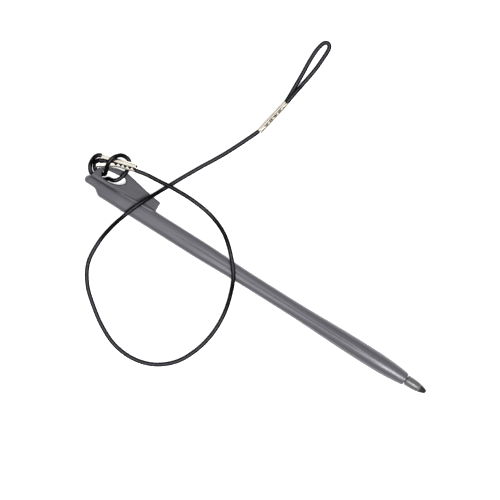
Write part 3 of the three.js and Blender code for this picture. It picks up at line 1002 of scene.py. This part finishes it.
    @staticmethod
    def ridge(
        x: np.ndarray,
        y: np.ndarray,
        line: tuple[list[float], list[float]],
        height: float,
        half_width: float,
        fade_in: tuple[float, float],
        fade_out: tuple[float, float],
    ) -> np.ndarray:
        """Work out a fine ridge along the barrel, or a groove: a bell curve across its line.

        Args:
            x: Places along the barrel.
            y: Places across it.
            line: The line's X and Y values.
            height: How high the ridge stands, less than 0 for a groove.
            half_width: Where the bell curve has fallen to 1/e.
            fade_in: Where along X the ridge starts and where it is full.
            fade_out: Where along X it starts to fall and where it ends.

        Returns:
            The rise at each place.
        """
        share = smooth_step(x, *fade_in) * (1 - smooth_step(x, *fade_out))
        return height * share * np.exp(-((y - np.interp(x, *line)) / half_width) ** 2)

    def outer(self) -> np.ndarray:
        """Work out the outer skin.

        At each place and angle the radius is the greater of the barrel's superellipse and the lug plate's
        rounded oblong, with a fillet where the two are nearly equal. A groove lies along the lug's root,
        a fine rib carries it on, a shallow parting line runs along the shaft, and the underside is cut
        flat at the floor.

        Returns:
            The grid of points.
        """
        x = self.stations()[:, None]
        angle = self.angles()[None, :]
        cosine, sine = np.cos(angle), np.sin(angle)
        opening = smooth_step(x, self.shoulder, self.head)
        widening = smooth_step(x, self.head, self.head + self.lug_side_taper)
        rising = smooth_step(x, self.head_end + self.tab_end_radius, self.head + self.head_height_rise)
        from_end = np.clip((x - self.head_end) / self.tab_end_radius, 0, 1)
        rounding = np.maximum(np.sqrt(1 - (1 - from_end) ** 2), 1e-4)
        full = self.half_size(x, self.head_half_width)
        plain = mix(self.tab_half_width_plain_side, full, opening) * rounding
        lug = mix(self.tab_half_width_lug_side, full, widening) * rounding
        height = mix(self.tab_half_height, self.half_size(x, self.head_half_height), rising) * rounding
        power = mix(self.head_power, 2.0, smooth_step(x, self.taper, self.bulge))
        wide = np.where(cosine > 0, lug, plain)
        body = ((np.abs(cosine) / wide) ** power + (np.abs(sine) / height) ** power) ** (-1 / power)
        reach = np.maximum(self.lug_edge(x), 1e-3)
        above = self.plate_top(x) - self.axis_height
        below = self.axis_height - self.lug_underside
        thick = np.where(sine > 0, above, below)
        square = self.lug_power
        plate = ((np.abs(cosine) / reach) ** square + (np.abs(sine) / thick) ** square) ** (-1 / square)
        plate = np.where(cosine > 0, plate, 0.0)
        near = np.maximum(self.fillet - np.abs(body - plate), 0) / self.fillet
        radius = np.maximum(body, plate) + near ** 2 * self.fillet / 4 * (plate > 0.5)
        y = radius * cosine
        z = self.axis_height + radius * sine
        fine = [
            (([-61.2, -56.0, -50.0], [1.55, 1.9, 2.15]), -0.07, 0.16, (-61.3, -59.5), (-57.0, -53.0)),
            (([-54.0, -50.5, -38.4], [1.6, 1.75, 2.5]), 0.16, 0.24, (-54.0, -50.5), (-39.4, -38.4)),
            (([-36.0, 42.0], [0.1, 0.1]), -0.1, 0.2, (-36.0, -20.0), (32.0, 42.0)),
        ]  # groove, rib and parting line
        upper = smooth_step(sine, 0.0, 0.1)
        z = np.maximum(z + upper * sum(self.ridge(x, y, *shape) for shape in fine), 0.0)
        return np.stack(np.broadcast_arrays(x, y, z), axis=-1)

    def inner(self) -> np.ndarray:
        """Work out the rim's rounded end, the mouth and the bore.

        Returns:
            Their rings as a grid of points, which carries on from the skin's.
        """
        angle = self.angles()[None, :]
        step = np.array([
            [self.rim + 0.03, self.rim_radius + 0.06], [self.rim + 0.06, self.rim_radius],
            [self.mouth - 0.15, self.rim_radius], [self.mouth - 0.07, self.rim_radius - 0.03],
            [self.mouth - 0.02, self.rim_radius - 0.08], [self.mouth, self.rim_radius - 0.15],
            [self.mouth, self.bore_radius + 0.1], [self.mouth - 0.04, self.bore_radius + 0.03],
            [self.mouth - 0.12, self.bore_radius], [self.bore_end, self.bore_radius],
            [self.bore_end, 0.02],
        ])
        x, radius = step[:, :1], step[:, 1:]
        y, z = radius * np.cos(angle), np.maximum(self.axis_height + radius * np.sin(angle), 0.0)
        return np.stack(np.broadcast_arrays(x, y, z), axis=-1)

    def eye_cutter(self) -> bpy.types.Object:
        """Make the tool that cuts the eye: its outline carried up through the plate, spreading to a
        rounded lip at both faces.

        Returns:
            The tool, a closed mesh object.
        """
        outline = self.eye_outline * [self.eye_length, self.eye_width]
        outline = outline + [self.head_end + self.eye_from_head, self.eye_from_axis]
        ring = curve_through(outline, 0.12, closed=True)
        ahead = np.roll(ring, -1, axis=0) - np.roll(ring, 1, axis=0)
        ahead /= np.linalg.norm(ahead, axis=1)[:, None]
        outward = np.stack([ahead[:, 1], -ahead[:, 0]], axis=-1)
        if np.sum((ring - ring.mean(axis=0)) * outward) < 0:
            outward = -outward
        top = self.plate_top(ring[:, 0])
        lip = self.eye_lip
        levels = [(lip + 0.25, -1.0, None), (lip + 0.25, -0.25, "low"), (lip, 0.0, "low")]
        turns = np.linspace(0.15, 1, 6)
        levels += [(lip * (1 - turn) ** 2, lip * turn, "low") for turn in turns]
        levels += [(lip * (1 - turn) ** 2, -lip * turn, "high") for turn in turns[::-1]]
        levels += [(lip, 0.0, "high"), (lip + 0.25, 0.25, "high"), (lip + 0.25, 6.0, None)]
        rows = []
        for spread, offset, face in levels:  # how far outward, how far above the face, and which face
            base = {"low": self.lug_underside, "high": top, None: 0.0}[face]
            flat = ring + outward * spread
            rows.append(np.column_stack([flat, np.broadcast_to(base + offset, len(ring))]))
        return grid_piece("eye_cutter", np.array(rows), sharp_angle=30.0)

    def build(self) -> bpy.types.Object:
        """Build the barrel with its bore, and cut the eye through the lug."""
        grid = np.concatenate([self.outer(), self.inner()])
        piece = grid_piece("stylus_barrel", grid, sharp_angle=self.sharp_degrees)
        cutter = self.eye_cutter()
        cut = piece.modifiers.new("eye", "BOOLEAN")
        cut.operation = "DIFFERENCE"
        cut.solver = "EXACT"
        cut.object = cutter
        bpy.context.view_layer.update()
        graph = bpy.context.evaluated_depsgraph_get()
        finished = bpy.data.meshes.new_from_object(piece.evaluated_get(graph))
        piece.modifiers.clear()
        piece.data = finished
        bpy.data.objects.remove(cutter)
        finished.shade_smooth()
        finished.set_sharp_from_angle(angle=math.radians(self.sharp_degrees))
        dress(piece, Finish.BARREL.value.make())
        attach(piece, "stylus")
        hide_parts("barrel")
        return piece


# ---- Nib ----
@dataclass
class Nib:
    """The pale grey nib on its shank, and its black point on a pin: two turned pieces that slide out."""

    axis_height: float = 2.35
    start: float = 55.5
    end: float = 60.5
    point_start: float = 60.55
    tip: float = 62.65
    base_radius: float = 1.69
    tip_radius: float = 0.45
    shank_radius: float = 1.1
    shank_length: float = 9.0
    pin_radius: float = 0.4
    pin_length: float = 3.0
    clearance: float = 0.3
    skirt_round: float = 0.12
    edge_break: float = 0.06
    pole: float = 0.01
    sides: int = 72

    def ogive(self, x: np.ndarray) -> np.ndarray:
        """Give the outside's radius at x: it falls with the 3.2nd power of the way to the tip."""
        along = (x - self.start) / (self.tip - self.start)
        return mix(self.base_radius, self.tip_radius, along ** 3.2)

    def turned(self, name: str, profile: list[tuple[float, float]]) -> bpy.types.Object:
        """Turn a profile about the barrel's axis.

        Args:
            name: The piece's name.
            profile: Pairs of X and radius, from one pole to the other.

        Returns:
            The new object.
        """
        line = np.array(profile)
        angle = np.linspace(0, TURN, self.sides, endpoint=False)[None, :]
        x, radius = line[:, :1], line[:, 1:]
        y, z = radius * np.cos(angle), self.axis_height + radius * np.sin(angle)
        return grid_piece(name, np.stack(np.broadcast_arrays(x, y, z), axis=-1), sharp_angle=35.0)

    def build_nib(self) -> bpy.types.Object:
        """Build the nib: shank, rounded shoulder, ogive, broken edge and the point's hole."""
        bevel = self.skirt_round
        skirt = self.start + bevel
        cone = np.linspace(skirt, self.end - 0.05, 40)
        bend = np.linspace(0, math.pi / 2, 6)
        shoulder = [
            (skirt - bevel * math.sin(turn), self.ogive(skirt) - bevel * (1 - math.cos(turn)))
            for turn in bend[::-1]
        ]
        hole = self.pin_radius + self.clearance
        deep = self.point_start - self.pin_length - self.clearance / 2
        back = self.start - self.shank_length
        last = self.ogive(self.end)
        piece = self.turned("nib_cone", [
            (back, self.pole), (back, self.shank_radius - 0.15), (back + 0.15, self.shank_radius),
            (self.start - 0.01, self.shank_radius), (self.start, self.shank_radius + 0.02),
            *shoulder, *[(x, self.ogive(x)) for x in cone[1:]],
            (self.end - 0.01, last - 0.02), (self.end, last - self.edge_break),
            (self.end, hole + 0.02), (self.end - 0.03, hole), (deep, hole), (deep, self.pole),
        ])
        dress(piece, Finish.NIB.value.make())
        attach(piece, "nib_insert")
        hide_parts("nib")
        return piece

    def build_point(self) -> bpy.types.Object:
        """Build the point: pin, ogive and round tip."""
        last = self.tip - self.tip_radius
        cone = np.linspace(self.point_start + 0.04, last, 14)
        bend = np.linspace(0, math.pi / 2, 10)[1:-1]
        edge, first = self.ogive(last), self.ogive(self.point_start)
        back = self.point_start - self.pin_length
        piece = self.turned("nib_black_point", [
            (back, self.pole), (back, self.pin_radius - 0.05), (back + 0.05, self.pin_radius),
            (self.point_start - 0.01, self.pin_radius), (self.point_start, self.pin_radius + 0.01),
            (self.point_start, first - self.edge_break), (self.point_start + 0.02, first - 0.02),
            *[(x, self.ogive(x)) for x in cone],
            *[(last + self.tip_radius * math.sin(turn), edge * math.cos(turn)) for turn in bend],
            (self.tip, self.pole),
        ])
        dress(piece, Finish.POINT.value.make())
        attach(piece, "nib_insert")
        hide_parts("nib_point")
        return piece


def main() -> None:
    """Build the studio, then every piece in order."""
    logging.basicConfig(level=logging.INFO, format="%(name)s: %(message)s")
    Studio().build()
    near = Crimp(
        "crimp_at_hitch", "near_crimp", (-61.2, 7.85, 3.1), (-50.5, 10.85, 5.4), 0.0, 92.0,
        seam_gap=0.18, notch_depth=0.62, notch_width=1.25, notch_pitch=1.5, first_notch=5.1, splay=1.9,
        slant=0.7,
    )
    far = Crimp(
        "crimp_at_loop", "far_crimp", (-24.3, 41.0, 1.38), (-22.05, 52.95, 1.38), 105.0, -10.0,
        channel=0.52, notch_depth=0.8, notch_width=1.4, notch_pitch=1.94, first_notch=1.1, notches=6,
        underlap=0.95, finish=Finish.SHADE_PAINTED_CRIMP,
    )
    tether = Tether(near, far)
    cord = tether.build()
    crimps = [near.build(), far.build()]
    nib = Nib()
    pieces = [cord, *crimps, Barrel().build(), nib.build_nib(), nib.build_point()]
    for piece in pieces:
        LOG.info("%s: %d faces", piece.name, len(piece.data.polygons))


if __name__ == "__main__":
    main()
